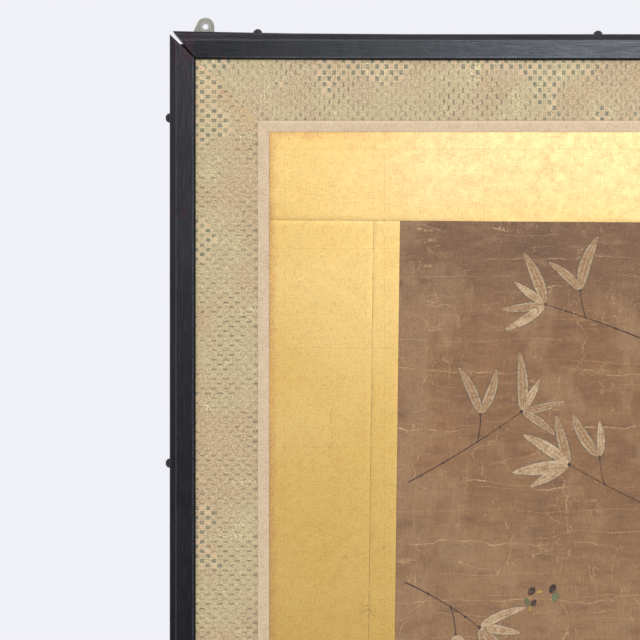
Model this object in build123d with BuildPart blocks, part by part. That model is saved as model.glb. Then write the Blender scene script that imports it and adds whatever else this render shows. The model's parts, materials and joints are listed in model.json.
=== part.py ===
from build123d import *

import os
from itertools import pairwise
from math import cos, radians, sin, tan

# A two-panel byobu, a folding screen. Each panel is a cedar lattice papered on
# both sides, faced with gold leaf and a silk painting inside a narrow silk band
# and a wide brocade border, and edged on three sides by a black lacquered frame.
# Alternating paper strips hinge the panels along their inner edges.
#
# Each piece is drawn once, for the right panel, and mirrored for the left one.
# A panel is drawn in its own directions: s runs from the fold to the outer
# edge, z runs up, and depth runs back from the face of the lacquered frame.

os.makedirs("parts", exist_ok=True)

# Driving dimensions, in millimetres and degrees
PANEL_WIDTH = 930.0  # from the fold to the outer edge
PANEL_HEIGHT = 1681.0
PANEL_TURN = 30.0  # how far each panel stands forward of a flat screen
FOLD_GAP = 4.0  # between the two panels when the screen is flat
AXIS_LIFT = 0.5  # the fold line lies this far in front of the frame's face
HINGE_CLEARANCE = 0.3  # from the fold line to the paper on either side

# Lacquered frame
FRAME_DEPTH = 24.0
FRAME_FACE = 28.0  # the whole width seen from the front
FRAME_BODY = 10.5  # the part of that width that is full depth
BEVEL_WIDTH = 7.0
BEVEL_DEPTH = 2.4
BACK_CHAMFER = 1.0
ARRIS_RADIUS = 0.6
MITRE_GAP_INNER = 1.4  # the opened mitre at the left panel's top corner
MITRE_GAP_OUTER = 4.3
TIGHT_GAP = 0.3
# The top rail has sprung up there: distances in from the outer edge, and the lift at each
SPRING_BENDS = ((260.0, 0.0), (130.0, 0.9), (0.0, 3.4))

# Layers, from the front: the depth of each front surface is worked out below
LINING = 0.8
CORE_DEPTH = 16.0
LEAF_PAPER = 0.3
SILK = 0.5
BAND_SILK = 0.5
BROCADE = 0.6
BACK_PAPER = 0.4
HINGE_PAPER = 0.4
LIP_DEPTH = 3.6  # the frame's lip, which bears on the brocade

# Layout of the front
BROCADE_SIDE = 95.3  # from the panel's outer edge to the silk band
BROCADE_END = 93.3  # from the panel's top or bottom to the silk band
BAND_WIDTH = 12.4
PAINTING_MARGIN_END = 201.9  # at the painting's outer corners
PAINTING_MARGIN_SIDE = 249.3  # at the painting's top corner
PAINTING_MARGIN_FOLD = 100.0  # at the painting's top corner
PAINTING_LEAN = 0.7  # the painting's sides lean outward on the way down
PAINTING_SLOPE = 0.4  # its ends rise towards the outer edge
LEAF_STRIP_WIDTH = 28.6

# Cedar lattice
MEMBER_WIDTH = 24.0
RIB_WIDTH = 12.0
VERTICAL_RIBS = 5
HORIZONTAL_RIBS = 10
TENON_LENGTH = 8.0

# Paper hinge
HINGE_STRIPS = 7
HINGE_END_MARGIN = 27.5
HINGE_STRIP_GAP = 1.0
HINGE_FLANGE = 14.0  # how far the strips reach in from the fold

# Hardware
TACK_MARGIN_STILE = 89.5
TACK_MARGIN_RAIL = 95.0
STILE_TACKS = 5
RAIL_TACKS = 3
TACK_HEAD_RADIUS = 5.5
TACK_HEAD_HEIGHT = 5.1
TACK_HEAD_SIDES = 12  # the dome is hammered in facets
TACK_HEAD_STEPS = ((1.0, 0.0), (0.86, 0.6), (0.45, 1.0))  # shares of its radius and height
TACK_SHANK = 2.0  # square
TACK_SHANK_LENGTH = 22.0
PLATE_THICKNESS = 1.6
PLATE_INSET = 33.9  # middle of the plate's foot, from the panel's outer edge
PLATE_FOOT_WIDTH = 26.1
PLATE_FOOT_HEIGHT = 10.0
PLATE_TAB_RADIUS = 9.8
PLATE_TAB_SHIFT = 3.2  # the round tab stands nearer the fold than the foot's middle
PLATE_TAB_RISE = 12.2  # height of the hole above the rail
PLATE_HOLE_RADIUS = 3.2
SCREW_SPACING = 12.0
SCREW_DROP = 5.0  # below the rail's top edge
SCREW_RADIUS = 1.5
SCREW_HEAD_RADIUS = 2.9
SCREW_HEAD_HEIGHT = 1.6
SCREW_LENGTH = 13.0

# Worked out from those
facing_depth = LIP_DEPTH + BROCADE  # the paste line of every facing
core_front = facing_depth + LINING
core_back = core_front + CORE_DEPTH
core_middle = (core_front + core_back) / 2
back_paper_depth = core_back + LINING
rail_start = FOLD_GAP / 2
core_start = rail_start + HINGE_PAPER
core_end = PANEL_WIDTH - FRAME_BODY
core_bottom = FRAME_BODY
core_top = PANEL_HEIGHT - FRAME_BODY
seam_top = PANEL_HEIGHT - PAINTING_MARGIN_END
seam_bottom = PAINTING_MARGIN_END
painting_end = PANEL_WIDTH - PAINTING_MARGIN_SIDE
strip_end = painting_end + LEAF_STRIP_WIDTH
lean = (seam_top - seam_bottom) * tan(radians(PAINTING_LEAN))
plate_s = PANEL_WIDTH - PLATE_INSET
sprung_lift = SPRING_BENDS[-1][1]

# The panel's drawing planes stand at the foot of the frame's face, at the fold or
# at the outer edge. The whole screen's footprint is centred on the origin.
outward = Vector(cos(radians(PANEL_TURN)), -sin(radians(PANEL_TURN)), 0)
backward = Vector(sin(radians(PANEL_TURN)), cos(radians(PANEL_TURN)), 0)
front_edge = AXIS_LIFT * backward.Y + PANEL_WIDTH * outward.Y + BEVEL_DEPTH * backward.Y
back_edge = AXIS_LIFT * backward.Y + rail_start * outward.Y + FRAME_DEPTH * backward.Y
fold_line = Vector(0, -(front_edge + back_edge) / 2, 0)
corner = fold_line + backward * AXIS_LIFT
face = Plane(origin=corner, x_dir=outward, z_dir=-backward)  # x is s, y is z
plan = Plane(origin=corner, x_dir=outward, z_dir=Vector(0, 0, 1))  # x is s, y is depth
section = Plane(origin=corner, x_dir=backward, z_dir=outward)  # x is depth, y is z
outer_side = Plane(origin=corner + outward * PANEL_WIDTH, x_dir=backward, z_dir=outward)
back = Plane(origin=corner + backward * FRAME_DEPTH, x_dir=-outward, z_dir=backward)  # x is -s

SIDES = ("left", "right")


def write(side, name, piece):
    """Export a piece of the right panel, or its mirror image for the left one."""
    with BuildPart() as placed:
        if side == "left":
            mirror(piece.part, about=Plane.YZ)
        else:
            add(piece.part)
    placed.part.label = f"{side}_{name}"
    export_step(placed.part, f"parts/{side}_{name}.step")


def write_pair(name, piece):
    """Export a piece that both panels have."""
    for side in SIDES:
        write(side, name, piece)


def evenly(start, end, count):
    """Centres of count members that share the space from start to end evenly."""
    pitch = (end - start) / (count + 1)
    return [start + pitch * (i + 1) for i in range(count)]


# ---------------------------------------------------------------------------
# Cedar lattice: four members half-lapped at the corners, with ribs that are
# half-lapped where they cross and tenoned into the members at their ends.
# ---------------------------------------------------------------------------
member_low = core_start + MEMBER_WIDTH / 2
member_high = core_end - MEMBER_WIDTH / 2
rail_low = core_bottom + MEMBER_WIDTH / 2
rail_high = core_top - MEMBER_WIDTH / 2
rib_s = evenly(core_start + MEMBER_WIDTH, core_end - MEMBER_WIDTH, VERTICAL_RIBS)
rib_z = evenly(core_bottom + MEMBER_WIDTH, core_top - MEMBER_WIDTH, HORIZONTAL_RIBS)
tenon_thickness = CORE_DEPTH / 3
tenon_front = core_middle - tenon_thickness / 2
mortise_step = (MEMBER_WIDTH - TENON_LENGTH) / 2  # from a member's middle to its mortises
stile_tack_z = [
    TACK_MARGIN_STILE + i * (PANEL_HEIGHT - 2 * TACK_MARGIN_STILE) / (STILE_TACKS - 1)
    for i in range(STILE_TACKS)
]
rail_tack_s = [
    TACK_MARGIN_RAIL + i * (PANEL_WIDTH - 2 * TACK_MARGIN_RAIL) / (RAIL_TACKS - 1)
    for i in range(RAIL_TACKS)
]

for name, s, inward in (("fold_stile", member_low, 1), ("outer_stile", member_high, -1)):
    with BuildPart() as stile:
        with BuildSketch(face.offset(-core_front)):
            with Locations((s, (core_bottom + core_top) / 2)):
                Rectangle(MEMBER_WIDTH, core_top - core_bottom)
        extrude(amount=-CORE_DEPTH)
        # The rails lap over the front half of the stile's two ends.
        with BuildSketch(face.offset(-core_front)):
            with Locations((s, rail_low), (s, rail_high)):
                Rectangle(MEMBER_WIDTH, MEMBER_WIDTH)
        extrude(amount=-CORE_DEPTH / 2, mode=Mode.SUBTRACT)
        with BuildSketch(face.offset(-tenon_front)):
            with Locations(*[(s + inward * mortise_step, z) for z in rib_z]):
                Rectangle(TENON_LENGTH, RIB_WIDTH)
        extrude(amount=-tenon_thickness, mode=Mode.SUBTRACT)
        if name == "outer_stile":
            with BuildSketch(outer_side):
                with Locations(*[(FRAME_DEPTH / 2, z) for z in stile_tack_z]):
                    Rectangle(TACK_SHANK, TACK_SHANK)
            extrude(amount=-TACK_SHANK_LENGTH, mode=Mode.SUBTRACT)
    write_pair(f"core_{name}", stile)

for name, z, inward in (("bottom_rail", rail_low, 1), ("top_rail", rail_high, -1)):
    with BuildPart() as rail:
        with BuildSketch(face.offset(-core_front)):
            with Locations(((core_start + core_end) / 2, z)):
                Rectangle(core_end - core_start, MEMBER_WIDTH)
        extrude(amount=-CORE_DEPTH)
        # The rail's two ends lie over the back half of the stiles.
        with BuildSketch(face.offset(-core_middle)):
            with Locations((member_low, z), (member_high, z)):
                Rectangle(MEMBER_WIDTH, MEMBER_WIDTH)
        extrude(amount=-CORE_DEPTH / 2, mode=Mode.SUBTRACT)
        with BuildSketch(face.offset(-tenon_front)):
            with Locations(*[(s, z + inward * mortise_step) for s in rib_s]):
                Rectangle(RIB_WIDTH, TENON_LENGTH)
        extrude(amount=-tenon_thickness, mode=Mode.SUBTRACT)
        if name == "top_rail":
            with BuildSketch(plan.offset(PANEL_HEIGHT)):
                with Locations(*[(s, FRAME_DEPTH / 2) for s in rail_tack_s]):
                    Rectangle(TACK_SHANK, TACK_SHANK)
            extrude(amount=-TACK_SHANK_LENGTH, mode=Mode.SUBTRACT)
    write_pair(f"core_{name}", rail)


def ribs(centres, width, height, tenon_width, tenon_height, laps_from):
    """Ribs with stub tenons, cut half through where the other ribs cross them."""
    crossings = [(s, z) for s in rib_s for z in rib_z]
    with BuildPart() as lattice:
        with BuildSketch(face.offset(-core_front)):
            with Locations(*centres):
                Rectangle(width, height)
        extrude(amount=-CORE_DEPTH)
        with BuildSketch(face.offset(-tenon_front)):
            with Locations(*centres):
                Rectangle(tenon_width, tenon_height)
        extrude(amount=-tenon_thickness)
        with BuildSketch(face.offset(-laps_from)):
            with Locations(*crossings):
                Rectangle(RIB_WIDTH, RIB_WIDTH)
        extrude(amount=-CORE_DEPTH / 2, mode=Mode.SUBTRACT)
    return lattice


lattice_width = core_end - core_start - 2 * MEMBER_WIDTH
lattice_height = core_top - core_bottom - 2 * MEMBER_WIDTH
lattice_centre = ((core_start + core_end) / 2, (core_bottom + core_top) / 2)
vertical_ribs = ribs(
    [(s, lattice_centre[1]) for s in rib_s],
    RIB_WIDTH,
    lattice_height,
    RIB_WIDTH,
    lattice_height + 2 * TENON_LENGTH,
    core_front,
)
write_pair("core_vertical_ribs", vertical_ribs)
horizontal_ribs = ribs(
    [(lattice_centre[0], z) for z in rib_z],
    lattice_width,
    RIB_WIDTH,
    lattice_width + 2 * TENON_LENGTH,
    RIB_WIDTH,
    core_middle,
)
write_pair("core_horizontal_ribs", horizontal_ribs)


# ---------------------------------------------------------------------------
# Paper, leaf and silk: flat sheets pasted in layers on the lattice
# ---------------------------------------------------------------------------
def sheet(corners, thickness, paste_depth):
    """A flat sheet with the given (s, z) corners, whose back is at paste_depth."""
    with BuildPart() as layer:
        with BuildSketch(face.offset(-paste_depth)):
            with BuildLine():
                Polyline(*corners, close=True)
            make_face()
        extrude(amount=thickness)
    return layer


def rectangle(s_low, z_low, s_high, z_high):
    """Corners of an upright rectangle on the panel's face."""
    return [(s_low, z_low), (s_high, z_low), (s_high, z_high), (s_low, z_high)]


def border_strips(outer, inner):
    """Corners of the side, top and bottom strips of a border, mitred outside.

    outer and inner are margins, from the panel's outer edge and from its ends.
    """
    outer_s, outer_z = PANEL_WIDTH - outer[0], PANEL_HEIGHT - outer[1]
    inner_s, inner_z = PANEL_WIDTH - inner[0], PANEL_HEIGHT - inner[1]
    return {
        "side": [(outer_s, outer[1]), (outer_s, outer_z), (inner_s, inner_z), (inner_s, inner[1])],
        "top": [(core_start, outer_z), (outer_s, outer_z), (inner_s, inner_z), (core_start, inner_z)],
        "bottom": [(core_start, outer[1]), (outer_s, outer[1]), (inner_s, inner[1]), (core_start, inner[1])],
    }


whole_core = rectangle(core_start, core_bottom, core_end, core_top)
write_pair("back_paper", sheet(whole_core, BACK_PAPER, back_paper_depth + BACK_PAPER))

brocade_margins = (BROCADE_SIDE, BROCADE_END)
band_margins = (BROCADE_SIDE + BAND_WIDTH, BROCADE_END + BAND_WIDTH)
for name, corners in border_strips((FRAME_BODY, FRAME_BODY), brocade_margins).items():
    write_pair(f"brocade_{name}", sheet(corners, BROCADE, facing_depth))
for name, corners in border_strips(brocade_margins, band_margins).items():
    write_pair(f"silk_band_{name}", sheet(corners, BAND_SILK, facing_depth))


# The painting was cut a little out of square, and the gold leaf papers round it follow.
def level_seam(s, z):
    """Height at s of the level seam that passes the painting's outer corner at z."""
    return z + (s - painting_end) * tan(radians(PAINTING_SLOPE))


def upright_seam(s_top, s_bottom):
    """The upper and lower ends of an upright seam between the two level ones."""
    return (s_top, level_seam(s_top, seam_top)), (s_bottom, level_seam(s_bottom, seam_bottom))


def between(near, far):
    """Corners of the sheet between two upright seams."""
    return [near[0], far[0], far[1], near[1]]


band_end = PANEL_WIDTH - band_margins[0]
fold_edge = upright_seam(core_start, core_start)
painting_near = upright_seam(PAINTING_MARGIN_FOLD, PAINTING_MARGIN_FOLD + lean)
painting_far = upright_seam(painting_end, painting_end + lean)
strip_far = upright_seam(strip_end, strip_end + lean)
band_edge = upright_seam(band_end, band_end)
leaf_top = PANEL_HEIGHT - band_margins[1]
leaf_bottom = band_margins[1]
leaf_papers = {
    "top": [(core_start, leaf_top), (band_end, leaf_top), band_edge[0], fold_edge[0]],
    "bottom": [(core_start, leaf_bottom), (band_end, leaf_bottom), band_edge[1], fold_edge[1]],
    "side": between(strip_far, band_edge),
    "strip": between(painting_far, strip_far),
    "fold": between(fold_edge, painting_near),
}
write_pair("painting_silk", sheet(between(painting_near, painting_far), SILK, facing_depth))
for name, corners in leaf_papers.items():
    write_pair(f"gold_leaf_{name}", sheet(corners, LEAF_PAPER, facing_depth))

# ---------------------------------------------------------------------------
# Lacquered frame: an L section whose lip laps over the facings, mitred at the
# two outer corners. (across, depth) run inward from the outer edge and back.
# ---------------------------------------------------------------------------
frame_section = [
    (0, BEVEL_DEPTH),
    (BEVEL_WIDTH, 0),
    (FRAME_FACE, 0),
    (FRAME_FACE, LIP_DEPTH),
    (FRAME_BODY, LIP_DEPTH),
    (FRAME_BODY, FRAME_DEPTH),
    (BACK_CHAMFER, FRAME_DEPTH),
    (0, FRAME_DEPTH - BACK_CHAMFER),
]
front_arrises = frame_section[:3]


def ease(sketch, corners):
    """Round the section's arrises at the given corners in the current sketch."""
    eased = [v for v in sketch.vertices() if any((Vector(v) - Vector(*c)).length < 1e-3 for c in corners)]
    fillet(eased, ARRIS_RADIUS)


with BuildPart() as frame_stile:
    with BuildSketch(plan) as stile_section:
        with BuildLine():
            Polyline(*[(PANEL_WIDTH - across, depth) for across, depth in frame_section], close=True)
        make_face()
        ease(stile_section.sketch_local, [(PANEL_WIDTH - across, depth) for across, depth in front_arrises])
    extrude(amount=PANEL_HEIGHT)
    with BuildSketch(face):
        with BuildLine():
            Polyline(
                (PANEL_WIDTH, 0),
                (PANEL_WIDTH, PANEL_HEIGHT),
                (PANEL_WIDTH - FRAME_FACE, PANEL_HEIGHT - FRAME_FACE),
                (PANEL_WIDTH - FRAME_FACE, FRAME_FACE),
                close=True,
            )
        make_face()
    extrude(amount=-FRAME_DEPTH, mode=Mode.INTERSECT)
    with BuildSketch(outer_side):
        with Locations(*[(FRAME_DEPTH / 2, z) for z in stile_tack_z]):
            Rectangle(TACK_SHANK, TACK_SHANK)
    extrude(amount=-FRAME_BODY, mode=Mode.SUBTRACT)
write_pair("frame_stile", frame_stile)


# Where the wall plate's screws go into the back of the top rail
screw_z = PANEL_HEIGHT - SCREW_DROP
screw_points = [(-(plate_s + step), screw_z) for step in (-SCREW_SPACING / 2, SCREW_SPACING / 2)]


def sprung(s):
    """How far the opened top rail has sprung up at a distance s from the fold."""
    inset = PANEL_WIDTH - s
    for (far, low), (near, high) in pairwise(SPRING_BENDS):
        if near <= inset <= far:
            return low + (high - low) * (far - inset) / (far - near)
    return 0


def frame_rail(edge_z, inward, opened):
    """A rail along edge_z. An opened one bends up at its end, clear of the stile."""
    gap_outer, gap_inner = (MITRE_GAP_OUTER, MITRE_GAP_INNER) if opened else (TIGHT_GAP, TIGHT_GAP)
    # Along the rail, a gap square to the 45 degree mitre is the square root of 2 longer.
    tip_s = PANEL_WIDTH - gap_outer * 2**0.5
    heel_s = PANEL_WIDTH - FRAME_FACE - gap_inner * 2**0.5
    mitre_slope = (tip_s - heel_s) / FRAME_FACE
    with BuildPart() as rail:
        with BuildLine(face) as run:
            bends = SPRING_BENDS if opened else ((0, 0),)
            Polyline((rail_start, edge_z), *[(PANEL_WIDTH - inset, edge_z + lift) for inset, lift in bends])
        with BuildSketch(section.offset(rail_start)) as rail_section:
            with BuildLine():
                Polyline(*[(depth, edge_z + inward * across) for across, depth in frame_section], close=True)
            make_face()
            corners = [(depth, edge_z + inward * across) for across, depth in front_arrises]
            ease(rail_section.sketch_local, corners)
        sweep(path=run.wires()[0], transition=Transition.RIGHT)
        with BuildSketch(face):
            with BuildLine():
                Polyline(
                    (tip_s + mitre_slope * FRAME_FACE, edge_z - inward * FRAME_FACE),
                    (heel_s - mitre_slope * FRAME_FACE, edge_z + inward * 2 * FRAME_FACE),
                    (PANEL_WIDTH + FRAME_FACE, edge_z + inward * 2 * FRAME_FACE),
                    (PANEL_WIDTH + FRAME_FACE, edge_z - inward * FRAME_FACE),
                    close=True,
                )
            make_face()
        extrude(amount=FRAME_DEPTH, both=True, mode=Mode.SUBTRACT)
        if inward < 0:
            with BuildSketch(plan.offset(PANEL_HEIGHT + sprung_lift)):
                with Locations(*[(s, FRAME_DEPTH / 2) for s in rail_tack_s]):
                    Rectangle(TACK_SHANK, TACK_SHANK)
            extrude(amount=-FRAME_BODY - sprung_lift, mode=Mode.SUBTRACT)
            with BuildSketch(back):
                with Locations(*screw_points):
                    Circle(SCREW_RADIUS)
            extrude(amount=PLATE_THICKNESS - SCREW_LENGTH, mode=Mode.SUBTRACT)
    return rail


for side in SIDES:
    write(side, "frame_top_rail", frame_rail(PANEL_HEIGHT, -1, side == "left"))
    write(side, "frame_bottom_rail", frame_rail(0, 1, False))


# ---------------------------------------------------------------------------
# Wall plate: a zinced plate on the back of the top rail, for a hook or nail
# ---------------------------------------------------------------------------
tab_centre = (-(plate_s - PLATE_TAB_SHIFT), PANEL_HEIGHT + PLATE_TAB_RISE)
foot_left = -plate_s - PLATE_FOOT_WIDTH / 2
foot_right = -plate_s + PLATE_FOOT_WIDTH / 2
with BuildPart() as wall_plate:
    with BuildSketch(back):
        with BuildLine():
            CenterArc(tab_centre, PLATE_TAB_RADIUS, 0, 360)
            Polyline(
                (foot_left, PANEL_HEIGHT - PLATE_FOOT_HEIGHT),
                (foot_right, PANEL_HEIGHT - PLATE_FOOT_HEIGHT),
                (foot_right, PANEL_HEIGHT),
                (foot_left, PANEL_HEIGHT),
                close=True,
            )
        make_hull()
    extrude(amount=PLATE_THICKNESS)
    with BuildSketch(back):
        with Locations(tab_centre):
            Circle(PLATE_HOLE_RADIUS)
        with Locations(*screw_points):
            Circle(SCREW_RADIUS)
    extrude(amount=PLATE_THICKNESS, mode=Mode.SUBTRACT)
write_pair("wall_plate", wall_plate)


# ---------------------------------------------------------------------------
# Small metal: each is made once, head up on +Z, and set where it is driven
# ---------------------------------------------------------------------------
with BuildPart() as tack:
    for radius_share, height_share in TACK_HEAD_STEPS:
        with BuildSketch(Plane.XY.offset(height_share * TACK_HEAD_HEIGHT)):
            RegularPolygon(radius_share * TACK_HEAD_RADIUS, TACK_HEAD_SIDES)
    loft(ruled=True)
    with BuildSketch():
        Rectangle(TACK_SHANK, TACK_SHANK)
    extrude(amount=-TACK_SHANK_LENGTH)

with BuildPart() as screw:
    with BuildSketch():
        Circle(SCREW_HEAD_RADIUS)
    extrude(amount=SCREW_HEAD_HEIGHT)
    with BuildSketch():
        Circle(SCREW_RADIUS)
    extrude(amount=-SCREW_LENGTH)


def driven(fastener, places):
    """Copies of a fastener at the given places, each with +Z out of the wood."""
    with BuildPart() as group:
        with Locations(*places):
            add(fastener.part)
    return group


top_side = plan.offset(PANEL_HEIGHT)
plate_back = back.offset(PLATE_THICKNESS)
stile_places = [outer_side.location * Pos(FRAME_DEPTH / 2, z) for z in stile_tack_z]
screw_places = [plate_back.location * Pos(*point) for point in screw_points]
write_pair("stile_tacks", driven(tack, stile_places))
write_pair("wall_plate_screws", driven(screw, screw_places))
for side in SIDES:
    # A head on the sprung rail bears on its high side, nearer the outer edge.
    lifts = [sprung(s + TACK_HEAD_RADIUS) if side == "left" else 0 for s in rail_tack_s]
    places = [top_side.location * Pos(s, FRAME_DEPTH / 2, lift) for s, lift in zip(rail_tack_s, lifts)]
    write(side, "top_rail_tacks", driven(tack, places))

# ---------------------------------------------------------------------------
# Paper hinge. Each strip is pasted under the facings of one panel, passes
# through the fold, and is pasted on the edge and under the back paper of the
# other. Strips alternate, so each panel carries the faces of one set and the
# edges of the other, and its linings are thinned to take them.
# ---------------------------------------------------------------------------
ridge_depth = HINGE_CLEARANCE - AXIS_LIFT
ridge_slope = (facing_depth - ridge_depth) / (core_start - HINGE_CLEARANCE)
ridge_thickness = HINGE_PAPER * (1 + ridge_slope**2) ** 0.5  # measured along the depth
face_bend = HINGE_CLEARANCE + (facing_depth + HINGE_PAPER - ridge_depth - ridge_thickness) / ridge_slope
face_profile = [
    (HINGE_FLANGE, facing_depth + HINGE_PAPER),
    (HINGE_FLANGE, facing_depth),
    (core_start, facing_depth),
    (HINGE_CLEARANCE, ridge_depth),
    (HINGE_CLEARANCE, ridge_depth + ridge_thickness),
    (face_bend, facing_depth + HINGE_PAPER),
]
edge_profile = [
    (HINGE_CLEARANCE, ridge_depth),
    (HINGE_CLEARANCE + HINGE_PAPER, ridge_depth),
    (core_start, facing_depth),
    (core_start, back_paper_depth - HINGE_PAPER),
    (HINGE_FLANGE, back_paper_depth - HINGE_PAPER),
    (HINGE_FLANGE, back_paper_depth),
    (rail_start, back_paper_depth),
    (rail_start, facing_depth),
]
strip_pitch = (PANEL_HEIGHT - 2 * HINGE_END_MARGIN + HINGE_STRIP_GAP) / HINGE_STRIPS
strip_length = strip_pitch - HINGE_STRIP_GAP
flange_s = (core_start + HINGE_FLANGE) / 2


def strip_middle(strip):
    """Height of the middle of a hinge strip."""
    return HINGE_END_MARGIN + strip * strip_pitch + strip_length / 2


def rebated(lining_back, rebate_front, strips):
    """A lining thinned along the fold where the given strips are pasted on it."""
    with BuildPart() as lining:
        with BuildSketch(face.offset(-lining_back)):
            with BuildLine():
                Polyline(*whole_core, close=True)
            make_face()
        extrude(amount=LINING)
        with BuildSketch(face.offset(-rebate_front)):
            with Locations(*[(flange_s, strip_middle(strip)) for strip in strips]):
                Rectangle(HINGE_FLANGE - core_start, strip_length)
        extrude(amount=-HINGE_PAPER, mode=Mode.SUBTRACT)
    return lining


for side in SIDES:
    face_strips = range(SIDES.index(side), HINGE_STRIPS, 2)
    edge_strips = range(1 - SIDES.index(side), HINGE_STRIPS, 2)
    with BuildPart() as hinge:
        for strips, profile in ((face_strips, face_profile), (edge_strips, edge_profile)):
            for strip in strips:
                with BuildSketch(plan.offset(strip_middle(strip) - strip_length / 2)):
                    with BuildLine():
                        Polyline(*profile, close=True)
                    make_face()
                extrude(amount=strip_length)
    write(side, "paper_hinge", hinge)
    write(side, "front_lining", rebated(core_front, facing_depth, face_strips))
    write(side, "back_lining", rebated(back_paper_depth, back_paper_depth - HINGE_PAPER, edge_strips))
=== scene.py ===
import json
from math import cos, hypot, pi, radians, sin, tan
from random import Random

import bpy
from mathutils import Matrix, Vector, noise

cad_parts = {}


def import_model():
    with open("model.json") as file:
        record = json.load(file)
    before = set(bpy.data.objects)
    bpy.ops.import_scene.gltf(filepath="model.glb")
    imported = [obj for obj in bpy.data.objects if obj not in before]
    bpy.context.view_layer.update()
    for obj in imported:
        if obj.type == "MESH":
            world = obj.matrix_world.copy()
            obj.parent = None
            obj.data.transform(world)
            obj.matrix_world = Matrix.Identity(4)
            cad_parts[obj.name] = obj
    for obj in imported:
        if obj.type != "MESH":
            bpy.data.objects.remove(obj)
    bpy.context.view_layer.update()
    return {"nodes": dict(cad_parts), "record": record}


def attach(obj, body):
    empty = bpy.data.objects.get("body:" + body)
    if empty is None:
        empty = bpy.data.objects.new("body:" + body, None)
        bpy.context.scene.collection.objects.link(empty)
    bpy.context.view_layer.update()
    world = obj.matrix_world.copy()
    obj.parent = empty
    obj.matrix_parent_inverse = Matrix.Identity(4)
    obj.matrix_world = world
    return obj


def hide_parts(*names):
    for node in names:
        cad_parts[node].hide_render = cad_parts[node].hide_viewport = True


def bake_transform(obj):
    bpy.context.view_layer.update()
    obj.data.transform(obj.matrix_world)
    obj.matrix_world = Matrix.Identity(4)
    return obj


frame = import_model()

# ---- Layout, in metres and radians ----
# A panel is laid out in its own directions: s runs from the fold to the outer edge,
# z runs up, and depth runs back from the face of the lacquered frame.
PANEL_WIDTH = 0.930
PANEL_HEIGHT = 1.681
PANEL_TURN = radians(30)
AXIS_LIFT = 0.0005  # the fold line lies this far in front of the frame's face
FRAME_FACE = 0.028
FRAME_BODY = 0.0105  # the frame's part outside the lattice; its lip covers the rest
BEVEL_WIDTH = 0.007
FACING_START = 0.0024  # every facing starts this far from the fold
BROCADE_SIDE = 0.0953
BROCADE_END = 0.0933
BAND_WIDTH = 0.0124
PAINTING_MARGIN_END = 0.2019
PAINTING_MARGIN_SIDE = 0.2493
PAINTING_MARGIN_FOLD = 0.100
PAINTING_LEAN = radians(0.7)
PAINTING_SLOPE = radians(0.4)
LEAF_STRIP_WIDTH = 0.0286
PASTE_DEPTH = 0.0042  # where every facing is pasted on
BROCADE = 0.0006
SILK = 0.0005
LEAF_PAPER = 0.0003
HINGE_STRIPS = 7
HINGE_END_MARGIN = 0.0275
HINGE_STRIP_GAP = 0.001
HINGE_FLANGE = 0.014
HINGE_PAPER = 0.0004
PLATE_HOLE_INSET = 0.0371
PLATE_HOLE_RISE = 0.0122

SIDES = {"left": -1, "right": 1}
fold = Vector(frame["record"]["behaviour"]["joints"][0]["pos_m"])
fold.z = 0.0
painting_end = PANEL_WIDTH - PAINTING_MARGIN_SIDE
strip_end = painting_end + LEAF_STRIP_WIDTH
seam_top = PANEL_HEIGHT - PAINTING_MARGIN_END
seam_bottom = PAINTING_MARGIN_END
lean = (seam_top - seam_bottom) * tan(PAINTING_LEAN)
# Margins in from a panel's outer edge, and from its ends
brocade_margins = (BROCADE_SIDE, BROCADE_END)
band_margins = (BROCADE_SIDE + BAND_WIDTH, BROCADE_END + BAND_WIDTH)


def outward(side):
    """The direction from the fold to a panel's outer edge."""
    return Vector((SIDES[side] * cos(PANEL_TURN), -sin(PANEL_TURN), 0))


def backward(side):
    """The direction square into a panel's painted face."""
    return Vector((SIDES[side] * sin(PANEL_TURN), cos(PANEL_TURN), 0))


def at(side, s, z, depth):
    """A point of a panel, in the shared frame."""
    return fold + outward(side) * s + backward(side) * (depth + AXIS_LIFT) + Vector((0, 0, z))


# ---- Patterns and colours; colours are linear ----
STRIP_SHIFT = 3.7  # sets the weave of the level strips apart from the upright one's
CELL_ALONG, CELL_ACROSS = 0.00518, 0.00637  # of the brocade's weave
LEAF_SQUARE = 0.1075
RING_PITCH, RING_RADIUS = 0.042, 0.7071  # the radius is a share of the pitch
BACK_SHEET_WIDTH, BACK_SHEET_HEIGHT = 0.465, 0.336
LACQUER_DARK, LACQUER_LIGHT = (0.0030, 0.0026, 0.0028), (0.0076, 0.0064, 0.0068)
LACQUER_PURPLE, LACQUER_RED = (0.024, 0.011, 0.014), (0.045, 0.016, 0.014)
LACQUER_DUST_AND_SHEEN, LACQUER_EDGE_SHADE = (0.068, 0.068, 0.073), (0.002, 0.002, 0.002)
LACQUER_SPECULAR, LACQUER_GLOSS = 0.195, (0.87, 0.915, 1.0)
BROCADE_DARK, BROCADE_LIGHT = (0.40, 0.300, 0.175), (0.46, 0.350, 0.215)
BROCADE_OLIVE, BROCADE_RIB = (0.385, 0.315, 0.180), (0.21, 0.155, 0.095)
BROCADE_PALE, BROCADE_PEACH = (0.59, 0.470, 0.300), (0.66, 0.435, 0.270)
BROCADE_DASH, BROCADE_TEAL = (0.125, 0.105, 0.075), (0.088, 0.115, 0.095)
BROCADE_GOLD, BROCADE_TAN = (0.65, 0.575, 0.315), (0.43, 0.300, 0.165)
BROCADE_WARM, BROCADE_SHADED = (0.47, 0.290, 0.145), (0.008, 0.007, 0.006)
BAND_LIGHT, BAND_DARK = (0.53, 0.400, 0.260), (0.46, 0.340, 0.212)
BAND_PALE, BAND_SOIL = (0.66, 0.510, 0.350), (0.24, 0.165, 0.095)
GOLD_DEEP, GOLD_LIGHT = (0.50, 0.322, 0.086), (0.57, 0.392, 0.122)
GOLD_PALE, GOLD_SHADED_LOW = (0.60, 0.450, 0.190), (0.43, 0.238, 0.010)
GOLD_SHEEN_WHITE, GOLD_BRIGHT = (0.53, 0.410, 0.235), (0.66, 0.490, 0.190)
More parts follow.
